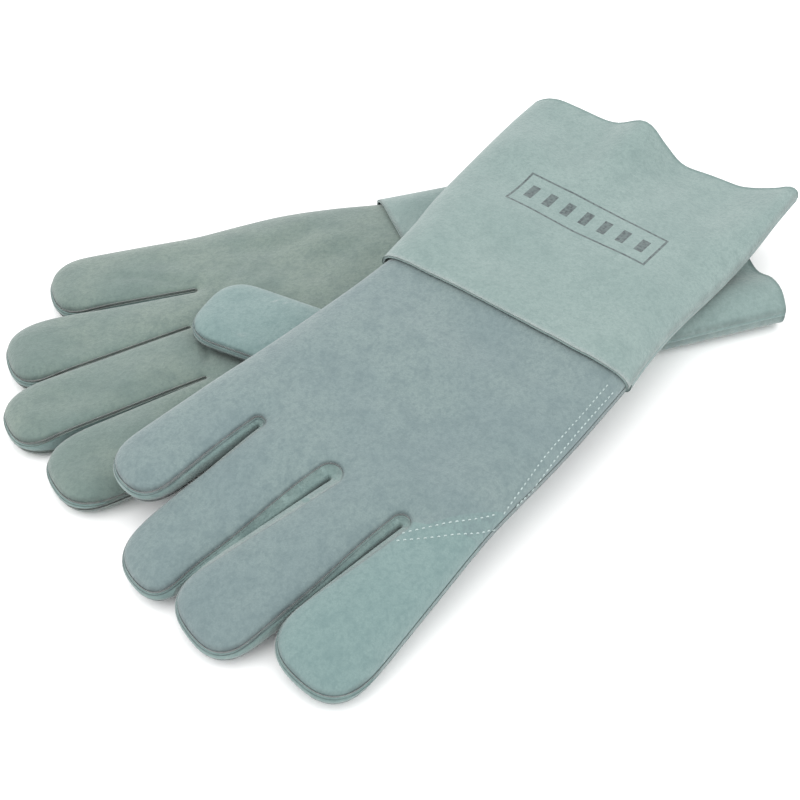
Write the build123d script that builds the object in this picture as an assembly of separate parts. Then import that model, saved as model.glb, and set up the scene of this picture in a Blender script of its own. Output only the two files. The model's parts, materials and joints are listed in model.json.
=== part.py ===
from build123d import *
import math
import os

# A pair of leather gauntlet welding gloves, lying crossed: the left glove palm up on the surface, the right
# glove back up on top of it. Millimetres. Z is up, X runs along the left glove towards its cuff, and the
# origin is under the middle of the pair, on the surface that it lies on.
#
# Each glove is drawn in its own frame: u runs from the wrist seam to the fingertips, v from the little
# finger to the index finger, and w is normal to the hand, upwards, from the hand's middle plane.

# ---- driving dimensions of one glove ----
LEATHER = 1.2            # leather thickness
COTTON = 0.6             # lining thickness
PLY_GAP = 0.05           # clearance between leather and lining
HAND_THICK = 14.0        # hand and fingers, flattened but not pressed
THUMB_THICK = 10.0
CUFF_THICK = 14.0
EDGE_RADIUS = 5.5        # rounding along the sides of the hand and fingers
THUMB_EDGE_RADIUS = 3.6
CUFF_LENGTH = 149.0
WELT_HALF = 1.0          # half the height of a plain welt
FOURCHETTE_HALF = 2.6    # half the height of a finger's side strip
WELT_PROUD = 0.4         # how far a welt stands out of the seam
JOINT_GAP = 0.3          # clearance where two moving parts meet
FINGER_SIDE_GAP = 1.3    # clearance beside each finger at its root
ROOT_OVERLAP = 4.0       # a finger is drawn this far past its knuckle line, then cut to it
OPEN_END_REACH = 8.0     # edges this near a stall's root middle belong to its open end
INSIDE_CARRY = 2.0       # a hollow is carried this far past its open ends
SIDE_BAND = 50.0         # long edges further than this from the middle line run along the sides
CUT_SPAN = 600.0         # wider than a whole glove, for the blocks that divide it
LEVEL = 1e-4             # heights closer than this are the same
FRONT_EDGE = 99.0        # hand edges whose middle is past this u lie on the knuckle line

# Places (v) of the index side and the little side at the wrist seam and at the cuff's mouth.
SEAM_SIDES = {"left": (66.0, -70.5), "right": (66.5, -59.5)}
MOUTH_SIDES = {"left": (69.0, -72.0), "right": (68.5, -71.5)}

# Knuckle points (u, v), from the index finger's outer side to the little finger's outer side.
KNUCKLES = {
    "left": [(107.0, 66.0), (114.5, 29.0), (114.5, -6.0), (112.5, -37.5), (100.0, -76.0)],
    "right": [(107.0, 63.5), (118.0, 33.0), (117.0, -3.0), (114.0, -42.5), (101.0, -73.5)],
}
FINGERS = ["index", "middle", "ring", "little"]

# Fingertip circles: centre (u, v) and radius. The left glove's fingers fan out more evenly.
TIPS = {
    "left": [(168.0, 64.5, 19.8), (181.5, 21.0, 18.8), (178.0, -20.0, 18.8), (153.5, -59.5, 17.5)],
    "right": [(168.0, 45.5, 19.9), (180.5, 0.3, 18.5), (178.0, -39.0, 17.5), (155.0, -69.5, 16.0)],
}

# Thumb: the centre (u, v) of its tip circle, its direction over the palm, and its length behind that centre.
THUMB_TIP = (91.0, 6.0)
THUMB_RADIUS = 23.0
THUMB_ANGLE = -45.0
THUMB_BACK = 60.0
THUMB_ROOT_HALF = 22.0
THUMB_HOLE_AT = 20.0     # from the thumb's root line to the middle of its hole in the palm
THUMB_HOLE_SIZE = (22.0, 16.0)
THUMB_HOLE_CORNER = 5.0
HOLE_SHORT = 2.0         # a hole stops this short of the far leaf

# ---- how the pair lies ----
LEFT_ORIGIN = (34.7, 55.4)
LEFT_HEADING = 180.0
RIGHT_ORIGIN = (50.1, 3.4)
RIGHT_HEADING = 215.6
RIGHT_HEIGHT = 33.8      # middle plane of the right hand at its wrist seam
RIGHT_SLOPE_U = -0.06    # rise of the hand per millimetre towards the fingertips
RIGHT_SLOPE_V = -0.09    # rise of the hand per millimetre towards the index finger
RIGHT_CUFF_DROOP = 5.0   # degrees that the cuff falls from the hand's plane
FINGER_DROOP = {
    "left": [0.0, 0.0, 0.0, 0.0],
    "right": [8.3, 10.0, 13.0, 5.0],
}
PALM_UP = {"left": True, "right": False}

# ---- stitching ----
STITCH = (3.2, 0.7, 0.4)       # length, width and height of one visible stitch
STITCH_STEP = 5.0
CUFF_STITCH_INSET = 5.0
STITCH_SIDE_ROOM = 7.5   # from a cuff's side to the first stitch of its row
INDEX_SEAM = [(8.0, 57.0), (86.0, 55.5), (114.0, 28.0)]
INDEX_SEAM_GAP = 4.0     # between the two rows of the double stitching
INDEX_SEAM_SHORT = [0.0, 0.4, 0.4]   # how much of that gap the inner row is drawn back, at each point


def parallel_edges_of_top(solid, w, skip_line):
    """Edges of the flat face at height w, apart from those that lie along one of the open ends."""
    chosen = []
    for edge in solid.edges():
        middle = edge.position_at(0.5)
        ends_at_w = all(abs(edge.position_at(t).Z - w) < LEVEL for t in (0.0, 0.5, 1.0))
        if ends_at_w and not skip_line(middle):
            chosen.append(edge)
    return chosen


def slab(outline, low, high, radius_low, radius_high, open_end):
    """A flat body with the plan outline, rounded along its lower and upper sides except at its open ends."""
    body = extrude(make_face(outline), high - low).moved(Location((0, 0, low)))
    if radius_high > 0:
        body = fillet(parallel_edges_of_top(body, high, open_end), radius_high)
    if radius_low > 0:
        body = fillet(parallel_edges_of_top(body, low, open_end), radius_low)
    return body


def polyline(points):
    return Polyline(*points, close=True).edges()


def toward(a, b, distance):
    """The point that lies the distance from a towards b."""
    length = math.dist(a, b)
    return (a[0] + (b[0] - a[0]) * distance / length, a[1] + (b[1] - a[1]) * distance / length)


def tangent_point(p, centre, radius, side):
    """Where the line from p touches the circle, on its left (+1) or right (-1) as seen from p."""
    dx, dy = centre[0] - p[0], centre[1] - p[1]
    distance = math.hypot(dx, dy)
    turn = math.atan2(dy, dx) + side * math.asin(radius / distance)
    reach = math.sqrt(distance ** 2 - radius ** 2)
    return (p[0] + reach * math.cos(turn), p[1] + reach * math.sin(turn))


def stall_outline(a, b, centre, radius, back=0.0):
    """A finger's plan: straight sides from root points a (left) and b (right) to a round tip. The sides
    are carried on past the root by the length back."""
    ta = tangent_point(a, centre, radius, 1)
    tb = tangent_point(b, centre, radius, -1)
    root = ((a[0] + b[0]) / 2, (a[1] + b[1]) / 2)
    tip = toward(centre, root, -radius)
    a_back, b_back = toward(a, ta, -back), toward(b, tb, -back)
    return [Line(a_back, ta), ThreePointArc(ta, tip, tb), Line(tb, b_back), Line(b_back, a_back)]


def shells(make_outline, thick, strip_half, edge_radius, open_end):
    """Top leaf, bottom leaf, side strip and lining of a flattened leather tube around a plan outline.
    make_outline(inset, back) draws the plan inset by a distance and carried past its open ends."""
    half = thick / 2
    inner_half = half - LEATHER
    lining_half = inner_half - PLY_GAP
    hollow_half = lining_half - COTTON
    outer = slab(make_outline(0, 0), -half, half, edge_radius, edge_radius, open_end)
    inside = slab(make_outline(LEATHER, INSIDE_CARRY), -inner_half, inner_half,
                  edge_radius - LEATHER, edge_radius - LEATHER, open_end)
    skin = outer - inside
    top_zone = Box(CUT_SPAN, CUT_SPAN, half, align=(Align.CENTER, Align.CENTER, Align.MIN)).moved(
        Location((0, 0, strip_half)))
    bottom_zone = Box(CUT_SPAN, CUT_SPAN, half, align=(Align.CENTER, Align.CENTER, Align.MAX)).moved(
        Location((0, 0, -strip_half)))
    strip_outer = slab(make_outline(-WELT_PROUD, 0), -strip_half, strip_half, 0, 0, open_end)
    strip_inner = slab(make_outline(LEATHER, INSIDE_CARRY), -thick, thick, 0, 0, open_end)
    lining_outer = slab(make_outline(LEATHER + PLY_GAP, 0), -lining_half, lining_half,
                        edge_radius - LEATHER, edge_radius - LEATHER, open_end)
    lining_inner = slab(make_outline(LEATHER + PLY_GAP + COTTON, INSIDE_CARRY), -hollow_half, hollow_half,
                        edge_radius - LEATHER - COTTON, edge_radius - LEATHER - COTTON, open_end)
    return {
        "top": skin & top_zone,
        "bottom": skin & bottom_zone,
        "strip": strip_outer - strip_inner,
        "lining": lining_outer - lining_inner,
    }


def hand_outline(side, inset, back):
    """The hand from the wrist seam to the knuckle line, inset at its sides and carried past its open ends."""
    seam_index, seam_little = SEAM_SIDES[side]
    knuckles = KNUCKLES[side]
    index_side = (knuckles[0][0], knuckles[0][1] - inset)
    little_side = (knuckles[-1][0], knuckles[-1][1] + inset)
    points = [(-back, seam_index - inset), index_side]
    if back > 0:
        points += [(index_side[0] + back, index_side[1])]
    points += [(u + back, v) for u, v in knuckles[1:-1]]
    if back > 0:
        points += [(little_side[0] + back, little_side[1])]
    points += [little_side, (-back, seam_little + inset)]
    return polyline(points)


def cuff_outline(side, inset, back):
    """The gauntlet cuff from its mouth to the wrist seam, inset at its sides and carried past its ends."""
    mouth, seam = -CUFF_LENGTH, -JOINT_GAP

    def across(u):
        share = (u - mouth) / (seam - mouth)
        index_v, little_v = (m + (s - m) * share for m, s in zip(MOUTH_SIDES[side], SEAM_SIDES[side]))
        return [(u, index_v - inset), (u, little_v + inset)]

    (a, b), (c, d) = across(mouth - back), across(seam + back)
    return polyline([a, c, d, b])


def off_sides(point):
    """Whether an edge with that middle belongs to an open end of a hand or cuff."""
    return abs(point.Y) < SIDE_BAND or point.X > FRONT_EDGE


def finger_roots(side, k):
    """Root points of finger k on the knuckle line, on its index and little sides."""
    a, b = KNUCKLES[side][k], KNUCKLES[side][k + 1]
    return toward(a, b, FINGER_SIDE_GAP), toward(b, a, FINGER_SIDE_GAP)


def knuckle_axis(side, k):
    """Middle (u, v) and direction angle, in degrees, of the line that finger k bends about."""
    a, b = KNUCKLES[side][k], KNUCKLES[side][k + 1]
    middle = ((a[0] + b[0]) / 2, (a[1] + b[1]) / 2)
    return middle, math.degrees(math.atan2(b[1] - a[1], b[0] - a[0]))


def hand_side_block(side, k):
    """Everything on the hand's side of finger k's root plane."""
    middle, angle = knuckle_axis(side, k)
    block = Box(CUT_SPAN, CUT_SPAN, CUT_SPAN, align=(Align.CENTER, Align.MAX, Align.CENTER))
    return Location((middle[0], middle[1], 0), (0, 0, angle)) * (Pos(0, JOINT_GAP, 0) * block)


def droop(side, k):
    """Turns finger k about its knuckle line from the hand's plane to how it lies."""
    middle, angle = knuckle_axis(side, k)
    to_axis = Location((middle[0], middle[1], HAND_THICK / 2), (0, 0, angle))
    return to_axis * Rotation(-FINGER_DROOP[side][k], 0, 0) * to_axis.inverse()


def finger_parts(side, k):
    """The leaves, fourchette and lining of one finger, bent down to how it lies."""
    a, b = finger_roots(side, k)
    u, v, radius = TIPS[side][k]

    def outline(inset, back):
        a_in, b_in = toward(a, b, inset), toward(b, a, inset)
        return stall_outline(a_in, b_in, (u, v), radius - inset, ROOT_OVERLAP + back)

    def open_end(point):
        return math.dist((point.X, point.Y), knuckle_axis(side, k)[0]) < OPEN_END_REACH

    made = shells(outline, HAND_THICK, FOURCHETTE_HALF, EDGE_RADIUS, open_end)
    cut = hand_side_block(side, k)
    return {name: (droop(side, k) * solid) - cut for name, solid in made.items()}


def thumb_frame(side):
    """Places the thumb over the palm, from its own frame with its root line at its origin."""
    angle = math.radians(THUMB_ANGLE)
    u = THUMB_TIP[0] - THUMB_BACK * math.cos(angle)
    v = THUMB_TIP[1] - THUMB_BACK * math.sin(angle)
    height = HAND_THICK / 2 + JOINT_GAP + THUMB_THICK / 2
    w = height if PALM_UP[side] else -height
    return Location((u, v, w), (0, 0, THUMB_ANGLE))


def thumb_hole(depth):
    """The hole between the thumb and the hand, in the thumb's frame."""
    plan = Pos(THUMB_HOLE_AT, 0, 0) * RectangleRounded(*THUMB_HOLE_SIZE, THUMB_HOLE_CORNER)
    return extrude(plan, depth / 2, both=True)


def thumb_parts(side):
    """The thumb's outer leaf, palm-side leaf, welt and lining, with the hole into the hand."""
    a, b = (0.0, THUMB_ROOT_HALF), (0.0, -THUMB_ROOT_HALF)

    def outline(inset, back):
        a_in, b_in = (inset, a[1] - inset), (inset, b[1] + inset)
        return stall_outline(a_in, b_in, (THUMB_BACK, 0.0), THUMB_RADIUS - inset)

    def open_end(point):
        return False

    made = shells(outline, THUMB_THICK, WELT_HALF, THUMB_EDGE_RADIUS, open_end)
    hand_face = "bottom" if PALM_UP[side] else "top"
    drop = -THUMB_THICK / 2 if PALM_UP[side] else THUMB_THICK / 2
    hole = Pos(0, 0, drop) * thumb_hole(THUMB_THICK - HOLE_SHORT)
    made[hand_face] = made[hand_face] - hole
    made["lining"] = made["lining"] - hole
    return {name: thumb_frame(side) * solid for name, solid in made.items()}


def hand_parts(side):
    def outline(inset, back):
        return hand_outline(side, inset, back)

    made = shells(outline, HAND_THICK, WELT_HALF, EDGE_RADIUS, off_sides)
    frame = thumb_frame(side)
    palm_height = HAND_THICK / 2 if PALM_UP[side] else -HAND_THICK / 2
    flat = Location((frame.position.X, frame.position.Y, palm_height), (0, 0, THUMB_ANGLE))
    hole = flat * thumb_hole(HAND_THICK - HOLE_SHORT)
    palm = "top" if PALM_UP[side] else "bottom"
    made[palm] = made[palm] - hole
    made["lining"] = made["lining"] - hole
    return made


def cuff_turn(side):
    """Turns the cuff about its seam from the hand's plane to how it lies."""
    if side == "left":
        return Location()
    to_axis = Location((0, 0, CUFF_THICK / 2))
    return to_axis * Rotation(0, -RIGHT_CUFF_DROOP, 0) * to_axis.inverse()


def cuff_parts(side):
    def outline(inset, back):
        return cuff_outline(side, inset, back)

    made = shells(outline, CUFF_THICK, WELT_HALF, EDGE_RADIUS, off_sides)
    block = Box(CUT_SPAN, CUT_SPAN, CUT_SPAN, align=(Align.MIN, Align.CENTER, Align.CENTER))
    block = block.moved(Location((-JOINT_GAP, 0, 0)))
    return {name: (cuff_turn(side) * solid) - block for name, solid in made.items()}


def stitch_row(points, height):
    """Visible stitches along a run of straight lines, lying on the face at that height."""
    stitches = []
    for start, end in zip(points, points[1:]):
        angle = math.degrees(math.atan2(end[1] - start[1], end[0] - start[0]))
        count = int(math.dist(start, end) // STITCH_STEP)
        for i in range(count):
            u, v = toward(start, end, (i + 0.5) * STITCH_STEP)
            thread = Box(*STITCH, align=(Align.CENTER, Align.CENTER, Align.MIN))
            stitches.append(Location((u, v, height), (0, 0, angle)) * thread)
    return stitches


def cuff_stitches(side):
    index_end, little_end = SEAM_SIDES[side]
    row = [(-CUFF_STITCH_INSET, little_end + STITCH_SIDE_ROOM),
           (-CUFF_STITCH_INSET, index_end - STITCH_SIDE_ROOM)]
    return Compound(children=[cuff_turn(side) * s for s in stitch_row(row, CUFF_THICK / 2)])


def index_stitches():
    inner = [(u - share * INDEX_SEAM_GAP, v - INDEX_SEAM_GAP)
             for (u, v), share in zip(INDEX_SEAM, INDEX_SEAM_SHORT)]
    rows = stitch_row(INDEX_SEAM, HAND_THICK / 2) + stitch_row(inner, HAND_THICK / 2)
    return Compound(children=rows)


def glove_frame(side):
    """Where the hand's frame stands: origin at the middle of the wrist seam."""
    if side == "left":
        origin, heading, height, slope_u, slope_v = LEFT_ORIGIN, LEFT_HEADING, HAND_THICK / 2, 0.0, 0.0
    else:
        origin, heading, height = RIGHT_ORIGIN, RIGHT_HEADING, RIGHT_HEIGHT
        slope_u, slope_v = RIGHT_SLOPE_U, RIGHT_SLOPE_V
    angle = math.radians(heading)
    along = Vector(math.cos(angle), math.sin(angle), slope_u)
    across = Vector(-math.sin(angle), math.cos(angle), slope_v)
    plane = Plane(origin=(origin[0], origin[1], height), x_dir=along, z_dir=along.cross(across))
    return plane.location


def glove(side):
    """All the pieces of one glove, by node name, in the frame of the pair."""
    back, palm = ("bottom", "top") if PALM_UP[side] else ("top", "bottom")
    pieces = {}
    hand = hand_parts(side)
    cuff = cuff_parts(side)
    thumb = thumb_parts(side)
    pieces["hand_back"], pieces["hand_palm"] = hand[back], hand[palm]
    pieces["hand_welts"], pieces["hand_liner"] = hand["strip"], hand["lining"]
    pieces["cuff_back"], pieces["cuff_palm"] = cuff[back], cuff[palm]
    pieces["cuff_welts"], pieces["cuff_lining"] = cuff["strip"], cuff["lining"]
    for k, finger in enumerate(FINGERS):
        made = finger_parts(side, k)
        pieces[f"{finger}_back"], pieces[f"{finger}_front"] = made[back], made[palm]
        pieces[f"{finger}_fourchette"], pieces[f"{finger}_liner"] = made["strip"], made["lining"]
    pieces["thumb_back"], pieces["thumb_front"] = thumb[palm], thumb[back]
    pieces["thumb_welt"], pieces["thumb_liner"] = thumb["strip"], thumb["lining"]
    pieces["cuff_stitches"] = cuff_stitches(side)
    if side == "right":
        pieces["index_stitches"] = index_stitches()
    frame = glove_frame(side)
    return {f"{side}_{name}": frame * solid for name, solid in pieces.items()}


def pair():
    """Both gloves, moved so that the origin is under the middle of their common box."""
    pieces = {**glove("left"), **glove("right")}
    corners = [solid.bounding_box() for solid in pieces.values()]
    x = (min(c.min.X for c in corners) + max(c.max.X for c in corners)) / 2
    y = (min(c.min.Y for c in corners) + max(c.max.Y for c in corners)) / 2
    z = min(c.min.Z for c in corners)
    shift = Location((-x, -y, -z))
    return {name: shift * solid for name, solid in pieces.items()}, shift


if __name__ == "__main__":
    os.makedirs("parts", exist_ok=True)
    made, moved_by = pair()
    for node, solid in made.items():
        export_step(solid, f"parts/{node}.step")
    print(len(made), "nodes; the pair was moved by", moved_by.position)
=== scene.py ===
"""Looks of a pair of suede welding gauntlets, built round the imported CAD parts.

Each glove is drawn in its own plan frame, in millimetres: u runs from the wrist seam to the
fingertips, v towards the index finger and w up, with the origin in the hand's middle plane.
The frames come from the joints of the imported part, so the leather sits where the CAD does.
"""

import json
import math

import bmesh
import bpy
import numpy as np
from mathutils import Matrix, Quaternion, Vector
from mathutils.geometry import delaunay_2d_cdt


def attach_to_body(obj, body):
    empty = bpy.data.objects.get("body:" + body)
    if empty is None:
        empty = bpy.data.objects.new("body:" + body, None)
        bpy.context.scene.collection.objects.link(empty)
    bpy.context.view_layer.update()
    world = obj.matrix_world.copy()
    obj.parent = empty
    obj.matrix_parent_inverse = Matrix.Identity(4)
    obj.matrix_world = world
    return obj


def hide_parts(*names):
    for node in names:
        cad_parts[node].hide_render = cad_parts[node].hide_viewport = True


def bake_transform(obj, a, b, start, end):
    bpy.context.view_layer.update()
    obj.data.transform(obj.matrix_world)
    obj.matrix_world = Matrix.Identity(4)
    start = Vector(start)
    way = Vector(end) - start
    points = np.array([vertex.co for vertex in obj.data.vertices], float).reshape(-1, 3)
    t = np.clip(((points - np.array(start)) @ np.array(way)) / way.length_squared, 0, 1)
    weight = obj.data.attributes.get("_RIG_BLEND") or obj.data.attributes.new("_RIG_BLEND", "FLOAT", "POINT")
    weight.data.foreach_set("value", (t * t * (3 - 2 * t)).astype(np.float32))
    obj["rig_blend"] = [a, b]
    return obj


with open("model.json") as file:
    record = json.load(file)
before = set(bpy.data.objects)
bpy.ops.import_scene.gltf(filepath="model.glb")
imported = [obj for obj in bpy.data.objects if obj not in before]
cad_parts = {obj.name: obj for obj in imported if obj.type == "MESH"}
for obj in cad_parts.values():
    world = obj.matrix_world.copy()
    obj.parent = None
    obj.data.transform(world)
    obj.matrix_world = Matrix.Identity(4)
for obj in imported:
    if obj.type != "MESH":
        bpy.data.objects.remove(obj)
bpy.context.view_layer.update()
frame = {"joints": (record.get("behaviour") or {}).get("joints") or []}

MM = 0.001
FINGERS = ("index", "middle", "ring", "little")
SIDES = ("left", "right")
# The leaf that faces up as the gloves lie, then the one below it.
LEAVES = {"left": ("palm", "back"), "right": ("back", "palm")}

# Thickness of the leather and the lining, and how far the lining stands off the leather, in mm.
LEATHER = 1.1
CUFF_LEATHER = 1.35
WELT_LEATHER = 0.9
THUMB_WELT = 0.8
COTTON = 0.5
LINING_INSET = 1.9
LINING_GAP = 2.2
# The cuff lining's gap, and its least half height.
CUFF_GAP = 2.0
LEAST_GAP = 0.05

# Plan points that are measured at once.
BATCH = 800

# Half the CAD hand's thickness, where the hand ends under the cuff, and the length of each bend.
HALF_HAND = 7.0
HAND_END = -6.0
FINGER_BEND = 24.0
CUFF_BEND = 26.0
THUMB_BEND = 20.0

# Centre and radius of each fingertip, index finger first.
TIPS = {
    "left": ((169.8, 62.6, 19.8), (186.2, 25.2, 17.5), (178.6, -14.4, 19.4), (152.2, -55.6, 20.4)),
    "right": ((171.0, 41.1, 20.6), (180.0, -2.4, 20.0), (178.0, -38.6, 16.2), (152.0, -67.6, 16.0)),
}
# How far each crotch between two fingers stands from the CAD's knuckle points, index side first.
CROTCH_SHIFT = {"left": ((0, 0), (0, 0), (-6, 6)), "right": ((0, 0), (0, 0), (0, 0))}
TIP_BLUNT = 0.3
LITTLE_BLUNT = 0.12
CROTCH_RADIUS = {"left": (0.7, 0.7, 0.7), "right": (0.7, 0.8, 0.7)}
INDEX_SIDE = {
    "left": ((-6, 66), (30, 67), (60, 66.5), (80, 66), (97, 67)),
    "right": ((-6, 66.2), (20, 66), (50, 65.4), (80, 63.5), (96, 62.4)),
}
LITTLE_SIDE = {
    "left": ((-6, -69), (8, -71.5), (25, -74.6), (53, -77.2), (80, -75.6), (97, -73.8)),
    "right": ((-6, -57.2), (8, -58.5), (25, -60.2), (45, -63), (75, -67.6), (95, -71.2)),
}
# Half height of the side strip and how far the leaf's edge stands back from the side, by place.
SEAMS = {
    "left": {"wrap": (0.3, 0.1), "tip": (1.4, 0.9), "between": (3.6, 1.8), "outer": (1.0, 0.8)},
    "right": {"wrap": (0.3, 0.1), "tip": (1.9, 1.1), "between": (4.6, 3.3), "outer": (1.0, 0.9)},
}
# The same beside each gap near the fingertips, where the strips narrow, and at its crotch.
GAP_ENDS = {
    "left": ((5.0, 0.4), (5.0, 0.4), (4.4, 0.7)),
    "right": ((3.8, 1.5), (4.2, 3.0), (4.2, 0.6)),
}
GAP_ROOTS = {
    "left": ((5.6, 0.3), (5.6, 0.3), (4.6, 0.9)),
    "right": ((4.4, 3.1), (5.0, 4.6), (4.6, 2.3)),
}
# How far fingers and cuff hang below the hand's plane, in degrees.
FINGER_DROOP = {"left": (0, 0, 0, 0), "right": (8.3, 10.0, 13.0, 5.0)}
CUFF_DROOP = {"left": 0.0, "right": 5.0}

# How far a bend is eased in on either side of its line.
EASE = 10.0

# Swell of the hand's upper leaf: its height and the width of its rolled edge, by u.
TOP_HEIGHT = ((0, 60, 130), (8.6, 8.8, 8.4))
TOP_ROLL = ((60, 120), (20, 14))
BOTTOM_ROLL = 9.0
# How square a rolled edge is: 2 would be an ellipse.
TOP_POWER = 2.1
BOTTOM_POWER = 2.4
# The dip of the palm under the thumb, and how much the lower leaf draws in under the cuff's lap.
THUMB_DIP = 1.5
LAP_DIP = 1.45
# Above the seam's half height, where a leaf starts to swell.
SEAM_LIP = 0.6
# Random seeds of the long and the short waves of the upper leaf, and their lengths and heights.
WAVE_SEEDS = {"left": (3, 5), "right": (8, 9)}
LONG_WAVE = (46, 0.75)
SHORT_WAVE = (17, 0.16)
# Soft folds and hollows of the upper leaf: the points they run through, height and half width.
CREASES = {
    "left": (
        (((108, -2), (110, 6), (111, 15), (112, 24)), -1.6, 1.6),
        (((30, -60), (60, -50), (95, -52)), -1.0, 6.0),
        (((150, -50), (130, -46), (112, -36), (98, -26)), -0.9, 2.2),
        (((100, -10), (92, -30), (78, -44)), -0.8, 4.0),
        (((140, 50), (120, 44), (104, 46)), -0.8, 4.0),
        (((20, -40), (44, -28), (50, -10)), -0.7, 5.0),
    ),
    "right": (
        (((118, 36), (108, 44), (99, 54), (92, 63)), -0.9, 3.0),
        (((92, 62), (84, 55), (72, 50), (58, 50)), -1.0, 4.5),
        (((92, 62), (70, 60), (40, 60), (12, 60)), -0.8, 2.2),
        (((112, 30), (98, 24), (84, 26)), -0.7, 4.0),
        (((110, -2), (96, -6), (84, -4)), -0.6, 4.5),
        (((60, 10), (74, -8), (80, -30)), -0.8, 8.0),
        (((30, 30), (40, 0), (34, -30)), 0.8, 9.0),
        (((20, 45), (50, 35), (80, 40)), 0.7, 8.0),
    ),
}
# Distances from the seam, in mm, of the rows of points along a leaf's edge.
FINE = (0.7, 0.15, 0.0, 0.25, 0.8, 1.8, 3.2, 5.0, 7.2)
COARSE = (0.0, 0.0, 0.05, 1.0, 3.0, 6.0)
# How far a leaf's first row tucks in below the seam's half height, and its second stands above.
LEAF_TUCK = 0.5
CUFF_TUCK = 0.4
EDGE_LIP = 0.1
# Spacing of the points that fill a leaf and a lining.
LEAF_SPACING = 2.5
LINING_SPACING = 6.0
# Put into the "edge" attribute where no painted seam shade should show: on the strips and where leather
# wraps a side.
WRAP_PLAIN = 3.0
# A patch below this share of a finger's faces is a stray one.
STRAY = 0.2

# Thumb in plan: length to the tip circle, tip radius, half width and corner radius at the root.
THUMB_LENGTH = 60.0
THUMB_RADIUS = 21.3
THUMB_HALF = 21.0
THUMB_CORNER = 9.0
# Seam half height and inset of the thumb, the height of its middle, how far its leaves swell,
# and how far its root is drawn to the palm that it is sewn to.
THUMB_SEAM = (1.3, 0.8)
THUMB_MIDDLE = {"left": 13.6, "right": -12.5}
THUMB_SWELL = {"left": (5.8, 4.2), "right": (5.2, 4.9)}
ROOT_SINK = 1.0
# Width of its rolled edge, outside and beside the palm, then its waves' seed, length and height.
THUMB_ROLL = (13, 7)
THUMB_WAVE = (12, 26, 0.4)
# How far the thumb's lining stands off its leather, and the seam half height that it is shaped for.
THUMB_LINING = 1.8
THUMB_LINING_SEAM = 0.6

# Sides of the cuffs in plan, index side then little side, as (u, v) from the lap to the mouth.
CUFF_SIDES = {
    "left": (
        ((8, 67.4), (-40, 67.6), (-90, 69.0), (-150, 69.5)),
        ((8, -72.2), (-40, -70.8), (-90, -71.0), (-150, -72.0)),
    ),
    "right": (
        ((8, 67.0), (-20, 65.0), (-48, 65.0), (-99, 68.4), (-127, 68.6), (-150, 68.4)),
        ((8, -59.2), (-20, -61.5), (-46, -65.5), (-85, -69.0), (-124, -71.6), (-150, -72.3)),
    ),
}
# Where the upper leaf's lap lies over the hand, as (v, u), and how much shorter the lower leaf's is.
LAP_LINE = {
    "left": ((-75, 4.0), (0, 4.5), (75, 4.5)),
    "right": ((-62, 7.0), (-50, 7.4), (0, 7.2), (40, 6.6), (62, 4.6), (70, 2.6)),
}
LOWER_LAP = 3.0
LINING_START = -3.0
# How the mouth's upper edge waves: (v, rise), and how its side seam rises: (v, rise).
MOUTH_WAVE = {
    "left": ((-75, 0), (-40, 1.5), (0, 0.5), (28, 0.5), (43, -1.5), (54, 1.5), (62, 2.0), (72, 0)),
    "right": (
        *((-75, 0), (-50, 0.5), (-28, 0.5), (-12, 8), (0, 1)),
        *((12, -5.0), (28, -4.0), (46, -5.0), (58, -3.0), (72, 1)),
    ),
}
MOUTH_LIFT = {"left": ((-75, 0), (40, 0), (75, 1)), "right": ((-75, 0), (25, 0), (48, 1.5), (72, 11))}
# Where the mouth lies, as (v, u).
MOUTH_LINE = {
    "left": ((-75, -148), (0, -149.5), (40, -149), (52, -151), (64, -151), (75, -149)),
    "right": (
        *((-75, -136), (-66, -141), (-50, -142.5), (-12, -145)),
        *((10, -144.5), (30, -145.5), (55, -150), (75, -157)),
    ),
}
# How far the lower leaf stands below the hand, and how much shorter the lining is at the mouth.
LAP_OUT = 0.3
LINING_SHORT = 5.0
# The upper leaf's height and the width of its rolled edge: at the wrist, and how much less opened out.
CUFF_TOP = (9.9, 0.9)
CUFF_ROLL = (20, 3)
# The lower leaf's roll width and power.
CUFF_BOTTOM = (11, 2.3)
# Where a cuff opens out and where its mouth's waves begin: distance from the wrist, and over how far.
OPENS = (12, 60)
NEAR_MOUTH = (70, 78)
# How high the side seams lie towards the mouth, and their half height and inset.
SIDE_MIDDLE = {"left": 2.6, "right": -0.5}
CUFF_SEAM = (0.6, 0.6)
# The u where a cuff's sides are read for its first and last row, then counts of rows and columns.
CUFF_SPAN = (5.0, -149.0)
CUFF_ROWS = 60
CUFF_COLUMNS = 46
# Edge row given to points that are away from a cuff leaf's edge.
NOT_TUCKED = 99
WELT_ROWS = 7

# The double seam round the index finger's root and along the hand's side, as runs of plan points.
INDEX_ROWS = (
    ((123.5, 36), (112.5, 46.5), (103.5, 54.5), (91, 61.5)),
    ((127.5, 36.3), (116.5, 49.3), (105.5, 59.3), (95, 63.3)),
    ((91, 62), (72, 61), (57, 60.2), (33, 60.6), (8, 61)),
    ((84, 63.6), (68, 64), (53, 63.8), (30, 63.9), (9, 64.4)),
)
# How far the row across the cuff stands from the lap's edge, then a stitch's pitch, length and radius.
LAP_STITCH = 4.0
STITCH_STEP = 2.6
STITCH_LONG = 1.6
STITCH_RADIUS = 0.33
# The rings of a stitch: place along it and girth as shares, and lift off the leather in mm.
STITCH_SIDES = 6
STITCH_PLACES = (-0.5, -0.3, 0.0, 0.3, 0.5)
STITCH_GIRTH = (0.45, 0.9, 1.0, 0.9, 0.45)
STITCH_LIFT = (-0.45, 0.02, 0.16, 0.02, -0.45)
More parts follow.
